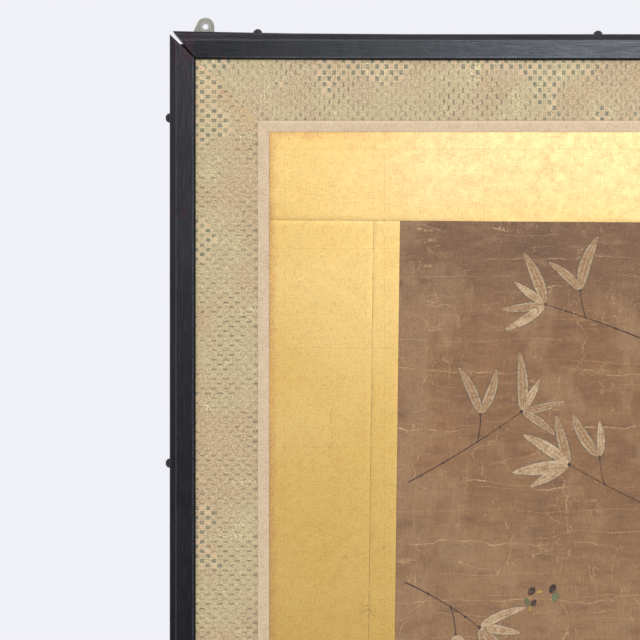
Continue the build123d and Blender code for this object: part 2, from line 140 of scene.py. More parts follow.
GOLD_RED, GOLD_ORANGE = (0.42, 0.215, 0.050), (0.42, 0.200, 0.060)
GOLD_BROWN, GOLD_METALLIC = (0.20, 0.100, 0.035), 0.75
SILK_DARK, SILK_LIGHT = (0.192, 0.096, 0.043), (0.248, 0.128, 0.060)
SILK_UPPER, SILK_STAIN = (0.122, 0.069, 0.043), (0.104, 0.055, 0.035)
SILK_WORN_AND_LIT, SILK_CRACK = (0.320, 0.200, 0.105), (0.560, 0.365, 0.190)
SILK_SOOT, SILK_EDGE_SHADE = (0.060, 0.040, 0.034), (0.05, 0.03, 0.02)
ART_CREAM, ART_CREAM_SHADE = (0.53, 0.405, 0.255), (0.41, 0.300, 0.180)
ART_GREY, ART_GREY_SHADE = (0.44, 0.335, 0.210), (0.34, 0.250, 0.155)
ART_INK, ART_INK_SHADE = (0.040, 0.029, 0.028), (0.080, 0.050, 0.038)
ART_OCHRE, ART_OCHRE_SHADE = (0.38, 0.240, 0.070), (0.28, 0.170, 0.055)
ART_GREEN, ART_GREEN_SHADE = (0.150, 0.190, 0.095), (0.095, 0.120, 0.065)
ART_OUTLINE = (0.075, 0.058, 0.050)
IRON_BLACK, IRON_RUST = (0.012, 0.011, 0.012), (0.060, 0.028, 0.016)
ZINC_DARK, ZINC_LIGHT = (0.225, 0.222, 0.180), (0.310, 0.300, 0.245)
ZINC_PINK, ZINC_SPOT = (0.34, 0.310, 0.285), (0.16, 0.145, 0.12)
CEDAR_PALE, CEDAR_GRAIN = (0.50, 0.32, 0.18), (0.34, 0.19, 0.10)
LINING_PALE, LINING_FIBRE = (0.66, 0.56, 0.40), (0.52, 0.42, 0.28)
BACK_TAN, BACK_BROWN = (0.35, 0.270, 0.165), (0.27, 0.195, 0.110)
BACK_SHEET, BACK_PRINT = (0.29, 0.215, 0.130), (0.52, 0.45, 0.33)
BACK_FIBRE, BACK_LAP = (0.42, 0.34, 0.23), (0.22, 0.155, 0.090)
BACK_SOIL, HINGE_SOIL = (0.20, 0.135, 0.075), (0.22, 0.145, 0.070)
HINGE_GILT, HINGE_RUBBED = (0.42, 0.270, 0.080), (0.38, 0.265, 0.130)
HINGE_CREASE = (0.16, 0.100, 0.050)


# ---- Material kit: arithmetic and short calls that add nodes ----

def operation(name):
    """A method that adds a math node of this name."""
    return lambda field, *others: field.kit.math(name, field, *others)


class Field:
    """A number, place or colour that varies over a surface. Its arithmetic adds nodes.

    a & b is the smaller of two numbers, a | b the larger, and a < b is 1 or 0.
    """

    __add__ = __radd__ = operation("ADD")
    __sub__ = operation("SUBTRACT")
    __mul__ = __rmul__ = operation("MULTIPLY")
    __mod__ = operation("MODULO")
    __and__ = operation("MINIMUM")
    __or__ = operation("MAXIMUM")
    __lt__ = operation("LESS_THAN")
    __abs__ = operation("ABSOLUTE")
    floor = operation("FLOOR")
    fraction = operation("FRACT")
    root = operation("SQRT")

    def __init__(self, kit, socket):
        self.kit = kit
        self.socket = socket

    def __rsub__(self, number):
        return self.kit.math("SUBTRACT", number, self)

    def __truediv__(self, number):
        return self * (1 / number)

    def off_middle(self):
        """How far the number is from the middle between two whole ones."""
        return abs(self.fraction() - 0.5)

    def ramp(self, low, high, to_low=0.0, to_high=1.0):
        """Maps low..high smoothly onto to_low..to_high."""
        inputs = dict(enumerate((self, low, high, to_low, to_high)))
        return self.kit.add("ShaderNodeMapRange", 0, inputs, interpolation_type="SMOOTHSTEP")

    def stripes(self, pitch, low, high):
        """Lines at every pitch, low to high setting how soft and wide."""
        return (self / pitch).off_middle().ramp(low, high, 1, 0)

    def ridge(self, width):
        """Lines where a noise crosses its middle."""
        return abs(self - 0.5).ramp(0.0, width, 1, 0)


class Kit:
    """Builds one material's nodes."""

    def __init__(self, name, side):
        self.material = bpy.data.materials.new(f"{name}_{side}")
        self.material.use_nodes = True
        self.tree = self.material.node_tree
        self.shader = self.tree.nodes["Principled BSDF"]
        self.side = side

    def add(self, kind, output, inputs, **settings):
        """Adds a node with these settings and inputs, and gives one of its outputs."""
        made = self.tree.nodes.new(kind)
        for key, value in settings.items():
            setattr(made, key, value)
        for key, value in inputs.items():
            self.plug(value, made.inputs[key])
        return Field(self, made.outputs[output])

    def plug(self, value, socket):
        """Sets a socket to a number or an RGB colour, or links a field to it."""
        if isinstance(value, Field):
            self.tree.links.new(value.socket, socket)
        elif value is not None:
            socket.default_value = (*value, 1.0) if isinstance(value, tuple) else value

    def math(self, name, *values):
        return self.add("ShaderNodeMath", 0, dict(enumerate(values)), operation=name)

    def spot(self, *coordinates):
        return self.add("ShaderNodeCombineXYZ", 0, dict(enumerate(coordinates)))

    def texture(self, kind, output, place, inputs, **settings):
        """Adds a texture, whose place is a field or a tuple of coordinates."""
        vector = self.spot(*place) if isinstance(place, tuple) else place
        return self.add(kind, output, {"Vector": vector, **inputs}, **settings)

    def noise(self, place, scale, detail=2.0, rough=0.5, distortion=0.0):
        inputs = {"Scale": scale, "Detail": detail, "Roughness": rough, "Distortion": distortion}
        return self.texture("ShaderNodeTexNoise", "Fac", place, inputs)

    def cell_edges(self, place, scale):
        """The distance to the nearest edge between scattered cells."""
        inputs = {"Scale": scale}
        return self.texture("ShaderNodeTexVoronoi", "Distance", place, inputs, feature="DISTANCE_TO_EDGE")

    def random(self, *place):
        """A random number for each whole-numbered place."""
        return self.texture("ShaderNodeTexWhiteNoise", "Value", place, {}, noise_dimensions="3D")

    def mark(self, name):
        """A number that the mesh holds for each of its points."""
        return self.add("ShaderNodeAttribute", "Fac", {}, attribute_name=name)

    def layers(self, base, *coats):
        """A colour with others laid over it, each given by its share and its colour."""
        for share, color in coats:
            base = self.add("ShaderNodeMix", 2, {0: share, 6: base, 7: color}, data_type="RGBA")
        return base

    def bump(self, height, distance, strength=1.0, after=None):
        inputs = {"Strength": strength, "Distance": distance, "Height": height, "Normal": after}
        return self.add("ShaderNodeBump", "Normal", inputs)

    def place(self):
        """A panel's own s, z and depth, read from the piece's coordinates."""
        spot = self.add("ShaderNodeTexCoord", "Object", {})
        directions = (outward(self.side), Vector((0, 0, 1)), backward(self.side))
        found = []
        for direction, lift in zip(directions, (0, 0, AXIS_LIFT)):
            inputs = {0: spot, 1: direction}
            along = self.add("ShaderNodeVectorMath", "Value", inputs, operation="DOT_PRODUCT")
            found.append(along + (-fold.dot(direction) - lift))
        return found

    def finish(self, color, roughness, normal, **inputs):
        """Plugs what it is given into the shader, and gives the material."""
        inputs.update(Base_Color=color, Roughness=roughness, Normal=normal)
        for key, value in inputs.items():
            self.plug(value, self.shader.inputs[key.replace("_", " ")])
        return self.material


def edge_distances(s, z):
    """Distances in from the panel's outer edge and from its nearer end."""
    return PANEL_WIDTH - s, z & (PANEL_HEIGHT - z)


def strip_place(s, z):
    """Along a border strip, across it from the frame inward, and 1 on the upright one."""
    from_side, from_end = edge_distances(s, z)
    on_side = from_side - BROCADE_SIDE < from_end - BROCADE_END
    along = on_side * z + (1 - on_side) * (s + STRIP_SHIFT)
    return along, from_side & from_end, on_side


def distance(off_s, off_z):
    """The length of an offset."""
    return (off_s * off_s + off_z * off_z).root()


# ---- Materials ----

def lacquer(side):
    """Black lacquer, brushed along each member and worn at its mitres, with painted highlights along its
    arrises and painted shade at the lip's inner edge.
    """
    kit = Kit("black_lacquer", side)
    s, z, depth = kit.place()
    spot = kit.spot(s, z, depth)
    from_side, from_end = edge_distances(s, z)
    from_corner = from_side | from_end
    across = from_side & from_end
    on_stile = from_side < from_end
    on_rail = 1 - on_stile
    along = on_stile * z + on_rail * s
    brushed = kit.noise((along * 0.05, across, depth), 700, 3)
    streaky = kit.noise((along * 0.06, across * 0.6, depth), 420, 4, 0.7)
    cloudy = kit.noise(spot, 12, 4, 0.6)
    ragged = kit.noise(spot, 300, 3)
    scuffs = kit.noise(spot, 330, 5, 0.7).ramp(0.66, 0.76)
    # Red-brown wood shows at the mitres; broken pale grey lines along the arrises are painted highlights
    off_mitre = abs(from_side - from_end) + kit.noise(spot, 120, 4, 0.6) * 0.016
    at_mitre = off_mitre.ramp(0.0070, 0.0140, 1, 0) * (from_corner < 0.040)
    outer, inner = abs(across - 0.0002), abs(across - (FRAME_FACE - 0.0026))
    off_arris = outer & abs(across - BEVEL_WIDTH) & inner
    # Painted highlights: pale lines along the outer edge, the bevel's arris and the lip's inner arris
    rubbed_and_sheen = off_arris.ramp(0.0002, 0.0010, 1, 0) * ragged.ramp(0.30, 0.58, 0.25, 1.0)
    # Purplish blotches keep to the corner and the upper stile
    near_corner = from_corner.ramp(0.018, 0.060, 1, 0)
    on_upper_stile = on_stile * z.ramp(1.15, 1.50, 0.25, 1.0)
    blotches = kit.noise((s, z * 0.6, depth), 52, 4) + near_corner * 0.15
    blotched = blotches.ramp(0.60, 0.72, 0, 0.8) * (on_upper_stile | near_corner)
    # The upper stile is painted paler towards the top, and a painted reflection of the ceiling lightens the
    # top rail's bevel
    upper_stile_paler = on_stile * z.ramp(1.0, PANEL_HEIGHT, 0, 0.19)
    bevel_reflection = on_rail * (across < BEVEL_WIDTH) * z.ramp(0.8, 1.6, 0, 0.26)
    # Painted shade: the face darkens over its last 2 mm before the lip's inner edge, where a shadow line
    # falls
    inner_edge_shade = across.ramp(FRAME_FACE - 0.0022, FRAME_FACE - 0.0010)
    base = kit.layers(
        LACQUER_DARK,
        (cloudy.ramp(0.3, 0.7), LACQUER_LIGHT),
        ((upper_stile_paler | bevel_reflection) * cloudy.ramp(0.3, 0.7, 0.7, 1.0), LACQUER_DUST_AND_SHEEN),
        (blotched, LACQUER_PURPLE),
        (brushed.ramp(0.5, 0.75) * z.ramp(0.9, 1.5, 0.12, 0.19), LACQUER_DUST_AND_SHEEN),
        (at_mitre * ragged.ramp(0.25, 0.6), LACQUER_RED),
        (rubbed_and_sheen * 0.55, LACQUER_DUST_AND_SHEEN),
        (scuffs * 0.45, LACQUER_DUST_AND_SHEEN),
        (inner_edge_shade, LACQUER_EDGE_SHADE),
    )
    rough = brushed.ramp(0.3, 0.7, 0.18, 0.27) + streaky.ramp(0.36, 0.64, -0.02, 0.06) + inner_edge_shade * 0.5
    relief = brushed + kit.noise(spot, 500, 3, 0.7) * 0.5 + streaky * 0.8
    normal = kit.bump(relief, 0.00026, 0.6)
    normal = kit.bump(kit.noise(spot, 30, 2), 0.0006, 0.5, normal)
    return kit.finish(base, rough, normal, Specular_IOR_Level=LACQUER_SPECULAR, Specular_Tint=LACQUER_GLOSS)


def brocade(side):
    """Old-gold silk with a grid of dashes that swell to a checker, and gold-thread clouds."""
    kit = Kit("brocade", side)
    s, z, _ = kit.place()
    from_side, from_end = edge_distances(s, z)
    along, across, on_side = strip_place(s, z)
    off_mitre = abs((from_side - BROCADE_SIDE) - (from_end - BROCADE_END))
    in_corner = (from_side | from_end).ramp(0.040, 0.080, 1, 0)
    spot = kit.spot(s, z)
    # The weave's cells: every other one is marked
    u, v = along / CELL_ALONG, across / CELL_ACROSS
    cell_u, cell_v = u.floor(), v.floor()
    off_u, off_v = u.off_middle(), v.off_middle()
    off_center = off_u | off_v
    marked = (cell_u + cell_v) % 2.0
    chance = kit.random(cell_u, cell_v)
    broken = kit.noise(spot, 560, 3, 0.65)
    strokes = broken.ramp(0.36, 0.52, 0.20, 1.0) * chance.ramp(0.0, 0.6, 0.45, 1.0)
    # Clusters of checker keep near the frame and stop in steps
    cell = (cell_u * CELL_ALONG, cell_v * CELL_ACROSS, 3.1)
    near_frame = across.ramp(0.030, 0.075, 0.045, -0.135)
    cluster = (kit.noise(cell, 17, 1.0) + near_frame + in_corner * 0.06 + chance * 0.06).ramp(0.565, 0.595)
    half_u, half_v = 0.15 + cluster * 0.22, 0.44 + cluster * -0.06
    in_u, in_v = (off_u - half_u).ramp(-0.06, 0.06, 1, 0), (off_v - half_v).ramp(-0.06, 0.06, 1, 0)
    mark = marked * in_u * in_v * strokes
    checker = mark * cluster
    dash = mark * (1 - cluster) * kit.noise((along, across), 22, 3).ramp(0.38, 0.60, 0.28, 0.95)
    peach = (1 - marked) * cluster * (chance.ramp(0.35, 0.80) | in_corner)
    peach = peach * off_center.ramp(0.34, 0.48, 1, 0) * broken.ramp(0.34, 0.56, 0.10, 1.0)
    outlines = cluster * off_center.ramp(0.40, 0.48) * broken.ramp(0.42, 0.60)
    edge_dots = marked * across.ramp(BROCADE_SIDE - 0.0042, BROCADE_SIDE - 0.0030) * strokes
    # Gold thread: curls within clouds, and a few slanting feathery strokes
    cloud = kit.noise((along, across * 0.8, 8.2), 19, 2.0).ramp(0.46, 0.56)
    curl = kit.noise(spot, 105, 1.0, 0.5, 1.8)
    bending = kit.noise((s, z, 14.0), 60, 2)
    slant = (along + across * 0.75 + curl * 0.007 + bending * 0.028).stripes(0.0040, 0.06, 0.30)
    feather = kit.noise((along * 1.2, across * 0.5, 5.5), 34, 1.0).ramp(0.60, 0.68)
    curls = cloud * curl.stripes(0.070, 0.05, 0.26) * 0.85
    thread = (curls | feather * slant) * broken.ramp(0.30, 0.55, 0.25, 1.0)
    # The ground's own weave
    rib = along.stripes(CELL_ALONG / 2, 0.02, 0.22)
    weft = kit.noise((along * 0.35, across, 4.0), 820, 2)
    fine = kit.noise((along, across * 0.42, 2.0), 640, 3, 0.7)
    base = kit.layers(
        BROCADE_DARK,
        (kit.noise(spot, 24, 4, 0.6).ramp(0.3, 0.7), BROCADE_LIGHT),
        # Painted sheen: the upright strip is painted more orange than the level ones, as its weave catches
        # the light another way
        (on_side * 0.75, BROCADE_TAN),
        (kit.noise((s, z, 6.0), 30, 3).ramp(0.48, 0.62, 0, 0.55), BROCADE_TAN),
        (cloud * 0.3, BROCADE_OLIVE),
        (on_side * off_mitre.ramp(0.0, 0.030, 0.75, 0), BROCADE_WARM),
        (rib * fine.ramp(0.3, 0.7, 0.16, 0.66), BROCADE_RIB),
        (fine.ramp(0.48, 0.64, 0.0, 0.52), BROCADE_RIB),
        (fine.ramp(0.34, 0.48, 0.58, 0.0), BROCADE_PALE),
        (weft.ramp(0.48, 0.66, 0.0, 0.65), BROCADE_PALE),
        (peach * 0.66, BROCADE_PEACH),
        (outlines * 0.75, BROCADE_GOLD),
        (feather * (1 - slant) * 0.25, BROCADE_RIB),
        (thread * 0.84, BROCADE_GOLD),
        (dash * 0.90, BROCADE_DASH),
        (edge_dots * 0.38, BROCADE_DASH),
        (checker * 0.76, BROCADE_TEAL),
        (off_mitre.ramp(0.0003, 0.0012, 0.55, 0), BROCADE_PALE),
        ((1 - kit.mark("rim")) * 0.5, BROCADE_RIB),
        (across.ramp(FRAME_FACE - 0.0014, FRAME_FACE + 0.0010, 1, 0), BROCADE_SHADED),
    )
    relief = fine * 0.6 + rib * -0.5 + thread * 0.9 + checker * 0.4
    normal = kit.bump(relief, 0.00022, 0.7)
    return kit.finish(base, 0.75, normal, Specular_IOR_Level=0.22, Sheen_Weight=0.08, Sheen_Roughness=0.4)


def plain_band(side):
    """Pale pinkish silk, faintly striped by its weave."""
    kit = Kit("silk_band", side)
    s, z, _ = kit.place()
    along, across, _ = strip_place(s, z)
    spot = kit.spot(s, z)
    threads = kit.noise((along, across * 0.30), 620, 2, 0.7)
    fine = kit.noise(spot, 520, 3, 0.7)
    base = kit.layers(
        BAND_LIGHT,
        (kit.noise(spot, 60, 4, 0.6).ramp(0.35, 0.75), BAND_DARK),
        (threads.ramp(0.42, 0.66, 0, 0.28), BAND_SOIL),
        (fine.ramp(0.45, 0.62, 0, 0.5), BAND_PALE),
        (across.ramp(BROCADE_END + 0.0012, BROCADE_END + 0.0040, 0.35, 0), BAND_PALE),
        ((1 - kit.mark("rim")) * 0.55, BAND_SOIL),
    )
    normal = kit.bump(threads + fine, 0.00010, 0.7)
    return kit.finish(base, 0.75, normal, Specular_IOR_Level=0.3, Sheen_Weight=0.1)


def gold_leaf(side):
    """Gold leaf on paper: brushed, creased and speckled, in squares that lap faintly."""
    kit = Kit("gold_leaf", side)
    s, z, _ = kit.place()
    spot = kit.spot(s, z)
    brushed = kit.noise((s * 0.16, z), 700, 2, 0.6) | kit.noise((s, z * 0.16, 7.0), 700, 2, 0.6)
    mottle = kit.noise(spot, 70, 6, 0.7)
    cloudy = kit.noise(spot, 9, 3)
    grain = kit.noise(spot, 520, 3, 0.7)
    # Orange where the leaf was handled, along the band and most near the corner
    from_side, from_end = edge_distances(s, z)
    inward = (from_side - band_margins[0]) & (from_end - band_margins[1])
    handled = (inward - kit.noise(spot, 60, 4, 0.7) * 0.022).ramp(-0.011, 0.000, 1, 0)
    handled = handled * (s.ramp(0.66, 0.80, 0.2, 1.0) | z.ramp(1.45, 1.56, 1.0, 0.2))
    # The leaf squares' laps, and creases that cross at all angles
    wander = mottle * 0.003
    laps = (s + wander).stripes(LEAF_SQUARE, 0.002, 0.007) | (z + wander).stripes(LEAF_SQUARE, 0.002, 0.007)
    bent = (s + kit.noise(spot, 30, 3) * 0.05, z + kit.noise((s, z, 4.0), 30, 3) * 0.05)
    creased = z.ramp(0.7, PANEL_HEIGHT, 1.0, 0.55) * kit.noise(spot, 20, 2).ramp(0.52, 0.62)
    crease = kit.cell_edges(bent, 26).ramp(0.0, 0.014, 1, 0) * creased
    specks = kit.noise(spot, 460, 2, 0.6).ramp(0.685, 0.725) * kit.noise((s, z, 2.0), 14, 2).ramp(0.43, 0.56)
    # Painted sheen: the leaf is painted whiter above the painting, most towards the fold, where the key
    # light's highlight falls
    rubbed_and_sheen = z.ramp(seam_top - 0.06, seam_top + 0.06) * s.ramp(0.60, 0.80, 1, 0)
    worn_edge = (1 - kit.mark("rim")) * kit.noise(spot, 130, 3).ramp(0.3, 0.6, 0.25, 1.0)
    base = kit.layers(
        GOLD_DEEP,
        (mottle.ramp(0.3, 0.7), GOLD_LIGHT),
        (cloudy.ramp(0.35, 0.7, 0, 0.35), GOLD_PALE),
        # Painted shade: darker and more orange towards the bottom, where the key light's highlight fades
        (z.ramp(0.6, PANEL_HEIGHT - 0.1, 0.78, 0), GOLD_SHADED_LOW),
        (rubbed_and_sheen * 0.45, GOLD_SHEEN_WHITE),
        (brushed.ramp(0.52, 0.66, 0, 0.42), GOLD_RED),
        (grain.ramp(0.52, 0.66, 0, 0.18), GOLD_RED),
        (grain.ramp(0.34, 0.50, 0.35, 0), GOLD_BRIGHT),
        (laps * 0.16, GOLD_RED),
        (crease * 0.38, GOLD_BROWN),
        (handled * grain.ramp(0.40, 0.62, 0.25, 0.9), GOLD_ORANGE),
        (specks * 0.80, GOLD_BROWN),
        (worn_edge * 0.8, GOLD_BROWN),
    )
    relief = grain * 0.15 + brushed * -0.5 + crease * -0.7 + laps * 0.3 + mottle * 0.6
    normal = kit.bump(relief, 0.00022, 0.6)
    normal = kit.bump(cloudy, 0.004, 0.25, normal)
    rough = mottle.ramp(0.3, 0.7, 0.46, 0.58)
    return kit.finish(base, rough, normal, Metallic=GOLD_METALLIC, Coat_Weight=0.35, Coat_Roughness=0.42)


def old_silk(side):
    """Brown silk painted long ago: fine weave, level creases, wavy cracks and stains."""
    kit = Kit("painting_silk", side)
    s, z, _ = kit.place()
    spot = kit.spot(s, z)
    warp = kit.noise((s, z * 0.05), 900, 2)
    weft = kit.noise((s * 0.05, z), 900, 2)
    wave = kit.noise(spot, 14, 4)
    ripple = kit.noise((s, z, 9.0), 55, 3)
    # Level creases, and cracks that wander upright, each showing only in stretches
    level = (z + wave * 0.030 + ripple * 0.004).stripes(0.062, 0.0045, 0.013)
    level = level * kit.noise((s * 0.7, z * 2.2, 1.0), 9, 2).ramp(0.42, 0.52)
    finer = (z + wave * 0.016 + 0.011).stripes(0.023, 0.006, 0.016)
    finer = finer * kit.noise((s * 0.8, z * 3.0, 6.0), 13, 2).ramp(0.50, 0.59)
    wander = kit.noise((s, z * 1.4, 3.0), 11, 4)
    upright = (s + wander * 0.11 + ripple * 0.010).stripes(0.085, 0.0030, 0.0095)
    upright = upright * kit.noise((s, z, 7.0), 10, 2).ramp(0.44, 0.54)
    short = kit.noise((s * 0.45, z * 1.5, 21.0), 24, 3).ridge(0.007)
    short = short * kit.noise((s, z, 5.0), 24, 2).ramp(0.50, 0.60)
    hair = kit.noise((s * 1.5, z * 0.6, 33.0), 34, 3).ridge(0.012)
    hair = hair * kit.noise((s, z, 15.0), 17, 3).ramp(0.50, 0.60)
    stretches = kit.noise((s, z, 27.0), 60, 3, 0.6).ramp(0.42, 0.58, 0.22, 1.0)
    cracks = (level | upright) * stretches | (finer * 0.7 | (short * 0.8 | hair * 0.5))
    cracks = cracks * kit.noise(spot, 420, 3).ramp(0.34, 0.56, 0.25, 1.0)
    # Worn and sooty patches, most by the painting's edge, and level streaks
    by_edge = s.ramp(painting_end - 0.070, painting_end, 0, 0.17)
    patches = kit.noise((s, z * 0.6, 2.0), 20, 4, 0.6) + by_edge
    grit = kit.noise(spot, 440, 3, 0.7)
    worn = patches.ramp(0.52, 0.66) * grit.ramp(0.36, 0.58, 0.3, 1.0)
    sooty = patches.ramp(0.56, 0.68) * kit.noise(spot, 330, 4, 0.7).ramp(0.56, 0.64)
    dark = kit.noise((s, z, 12.0), 8, 5, 0.65).ramp(0.50, 0.66)
    streaks = kit.noise((s * 0.35, z, 17.0), 75, 5, 0.7)
    flecks = kit.noise((s, z * 0.7), 330, 3, 0.65).ramp(0.65, 0.72)
    base = kit.layers(
        SILK_DARK,
        (kit.noise(spot, 10, 5, 0.6).ramp(0.3, 0.7), SILK_LIGHT),
        (z.ramp(seam_top - 0.16, seam_top, 0, 0.62), SILK_UPPER),
        # Painted light: paler towards the bottom, making up for the light falling off there
        (z.ramp(1.05, 1.25, 0.34, 0), SILK_WORN_AND_LIT),
        (dark * z.ramp(1.05, 1.30, 0.08, 0.36), SILK_STAIN),
        (streaks.ramp(0.48, 0.68, 0, 0.46), SILK_STAIN),
        (streaks.ramp(0.32, 0.48, 0.45, 0), SILK_WORN_AND_LIT),
        (grit.ramp(0.50, 0.66, 0, 0.35), SILK_STAIN),
        (grit.ramp(0.34, 0.48, 0.30, 0), SILK_WORN_AND_LIT),
        (worn * 0.62, SILK_WORN_AND_LIT),
        (sooty * 0.55, SILK_SOOT),
        (warp.ramp(0.35, 0.65, 0, 0.22), SILK_STAIN),
        (weft.ramp(0.45, 0.7, 0, 0.15), SILK_WORN_AND_LIT),
        (flecks * 0.45, SILK_CRACK),
        (cracks * streaks.ramp(0.35, 0.65, 0.35, 0.85), SILK_CRACK),
        # Painted shade: a thin dark line along the silk's edges
        ((1 - kit.mark("rim")) * 0.6, SILK_EDGE_SHADE),
    )
    normal = kit.bump(warp * 0.4 + weft * 0.4 + cracks, 0.00022, 0.7)
    return kit.finish(base, 0.70, normal, Specular_IOR_Level=0.25)


def paint(name, tint, shade, line, wear=0.5, hollow=0.0):
    """Mineral paint on the silk: outlined, thickest inside its rim, and rubbed through."""

    def make(side):
        kit = Kit(name, side)
        s, z, _ = kit.place()
        spot = kit.spot(s, z)
        rim = kit.mark("rim")
        grit = kit.noise(spot, 300, 4, 0.65)
        patchy = kit.noise((s, z, 3.0), 150, 5, 0.75)
        base = kit.layers(
            tint,
            (kit.noise(spot, 70, 3).ramp(0.35, 0.65), shade),
            (rim.ramp(0.55, 0.95) * grit.ramp(0.30, 0.55, 0.45, 1.0) * hollow, SILK_LIGHT),
            (kit.mark("vein").ramp(0.45, 0.95) * 0.7, tint),
            (grit.ramp(0.52, 0.62, 0, wear), SILK_DARK),
            (patchy.ramp(0.50, 0.60, 0, wear), SILK_LIGHT),
            (rim.ramp(0.10, 0.48, 0.85, 0), line),
        )
        normal = kit.bump(kit.noise(spot, 800, 2), 0.0001, 0.6)
        return kit.finish(base, 0.85, normal, Specular_IOR_Level=0.2)

    return make


def iron(side):
    """Blackened iron, dull with a little rust."""
    kit = Kit("black_iron", side)
    spot = kit.spot(*kit.place())
    rust = kit.noise(spot, 500, 4).ramp(0.55, 0.68)
    base = kit.layers(IRON_BLACK, (rust * 0.6, IRON_RUST))
    normal = kit.bump(kit.noise(spot, 420, 3), 0.0003, 0.8)
    return kit.finish(base, rust.ramp(0, 1, 0.42, 0.7), normal, Specular_IOR_Level=0.35)


def zinc(side):
    """Zinc plate gone cream-grey and dull, paler round its hole."""
    kit = Kit("zinc_plate", side)
    s, z, depth = kit.place()
    spot = kit.spot(s, z, depth)
    reach = distance(s - (PANEL_WIDTH - PLATE_HOLE_INSET), z - (PANEL_HEIGHT + PLATE_HOLE_RISE))
    bloom = kit.noise(spot, 160, 4, 0.6)
    base = kit.layers(
        ZINC_DARK,
        (bloom.ramp(0.3, 0.7), ZINC_LIGHT),
        ((reach + bloom * 0.001).ramp(0.0062, 0.0072, 0.6, 0), ZINC_PINK),
        (abs(reach - 0.0068).ramp(0.0002, 0.0008, 0.35, 0), ZINC_SPOT),
        (kit.noise(spot, 480, 3).ramp(0.62, 0.72, 0, 0.5), ZINC_SPOT),
    )
    normal = kit.bump(bloom, 0.0003, 0.5)
    return kit.finish(base, bloom.ramp(0.3, 0.7, 0.45, 0.65), normal, Specular_IOR_Level=0.3)


def cedar(side):
    """Plain sawn cedar, its grain running up."""
    kit = Kit("cedar", side)
    s, z, depth = kit.place()
    grain = kit.noise((s, z * 0.04, depth), 260, 3, 0.6, 0.6)
    base = kit.layers(CEDAR_PALE, (grain.ramp(0.3, 0.7), CEDAR_GRAIN))
    return kit.finish(base, 0.75, kit.bump(grain, 0.0003, 0.6))


def lining(side):
    """Layered mulberry paper with long fibres."""
    kit = Kit("lining_paper", side)
    fibre = kit.noise(kit.spot(*kit.place()), 220, 4, 0.7, 1.5)
    base = kit.layers(LINING_PALE, (fibre.ramp(0.35, 0.7), LINING_FIBRE))
    return kit.finish(base, 0.9, kit.bump(fibre, 0.0002, 0.5))


def back_paper(side):
    """Block-printed backing paper in lapped sheets: rings that overlap, a dot in each middle."""
    kit = Kit("back_paper", side)
    s, z, _ = kit.place()
    spot = kit.spot(s, z)
    in_s, in_z = (s / RING_PITCH).fraction() - 0.5, (z / RING_PITCH).fraction() - 0.5
    printed = 0.0
    for shift_s in (-0.5, 0.5):
        for shift_z in (-0.5, 0.5):
            reach = distance(in_s - shift_s, in_z - shift_z)
            ring = abs(reach - RING_RADIUS).ramp(0.016, 0.036, 1, 0)
            dot = reach.ramp(0.05, 0.075, 1, 0)
            printed = ring | dot | printed
    printed = printed * kit.noise(spot, 150, 4, 0.6).ramp(0.36, 0.55)
    fibre = kit.noise(spot, 200, 4, 0.7, 1.5)
    sheet = kit.random((s / BACK_SHEET_WIDTH).floor(), (z / BACK_SHEET_HEIGHT).floor())
    lap = s.stripes(BACK_SHEET_WIDTH, 0.0030, 0.0042) | z.stripes(BACK_SHEET_HEIGHT, 0.0040, 0.0055)
    handled = kit.noise(spot, 12, 4, 0.6) + abs(s - PANEL_WIDTH / 2).ramp(0.38, 0.46, 0, 0.10)
    base = kit.layers(
        BACK_TAN,
        (kit.noise(spot, 7, 5, 0.65).ramp(0.32, 0.68), BACK_BROWN),
        (sheet * 0.35, BACK_SHEET),
        (printed * 0.65, BACK_PRINT),
        (fibre.ramp(0.4, 0.7, 0, 0.3), BACK_FIBRE),
        (lap * 0.30, BACK_LAP),
        (handled.ramp(0.56, 0.74, 0, 0.45), BACK_SOIL),
    )
    return kit.finish(base, 0.88, kit.bump(fibre + printed * 0.3 + lap * 0.8, 0.0002, 0.6))


def hinge_paper(side):
    """Mulberry paper, gilded where it lies on a face and round the fold, and rubbed there."""
    kit = Kit("hinge_paper", side)
    s, z, depth = kit.place()
    rubbed_and_sheen = kit.noise((s, z, depth), 240, 4, 0.65)
    base = kit.layers(
        HINGE_GILT,
        (rubbed_and_sheen.ramp(0.46, 0.64), HINGE_RUBBED),
        (kit.mark("behind"), kit.layers(BACK_TAN, (rubbed_and_sheen.ramp(0.4, 0.6), BACK_BROWN))),
        (kit.mark("creased") * 0.75, HINGE_CREASE),
        (kit.noise((s, z * 0.4, depth), 40, 4, 0.6).ramp(0.45, 0.7, 0, 0.5), HINGE_SOIL),
    )
    return kit.finish(base, 0.65, kit.bump(rubbed_and_sheen, 0.0003, 0.6), Metallic=0.2, Specular_IOR_Level=0.25)


made_materials = {}


def dress(piece, make, side):
    """Gives a piece the side's copy of a material, which is made once."""
    if (make, side) not in made_materials:
        made_materials[make, side] = make(side)
    piece.data.materials.clear()
    piece.data.materials.append(made_materials[make, side])


# ---- Meshes ----
RIM = 0.0006  # how far in from a sheet's edge it is worn thin
EDGE_SHARE = 0.78  # share of its thickness that is left there
SHEET_PITCH = 0.006
SHARP = radians(40)
COCKLE_SIZE = 0.06
SIDE_SHIFT, HEIGHT_SHIFT = 11.0, 1e4  # sides, and sheets of unlike heights, cockle differently
BROCADE_COCKLE, BAND_COCKLE, LEAF_COCKLE, PAINTING_COCKLE = 0.00008, 0.00005, 0.00010, 0.0002


def new_object(name, data):
    made = bpy.data.objects.new(name, data)
    bpy.context.scene.collection.objects.link(made)
    return made


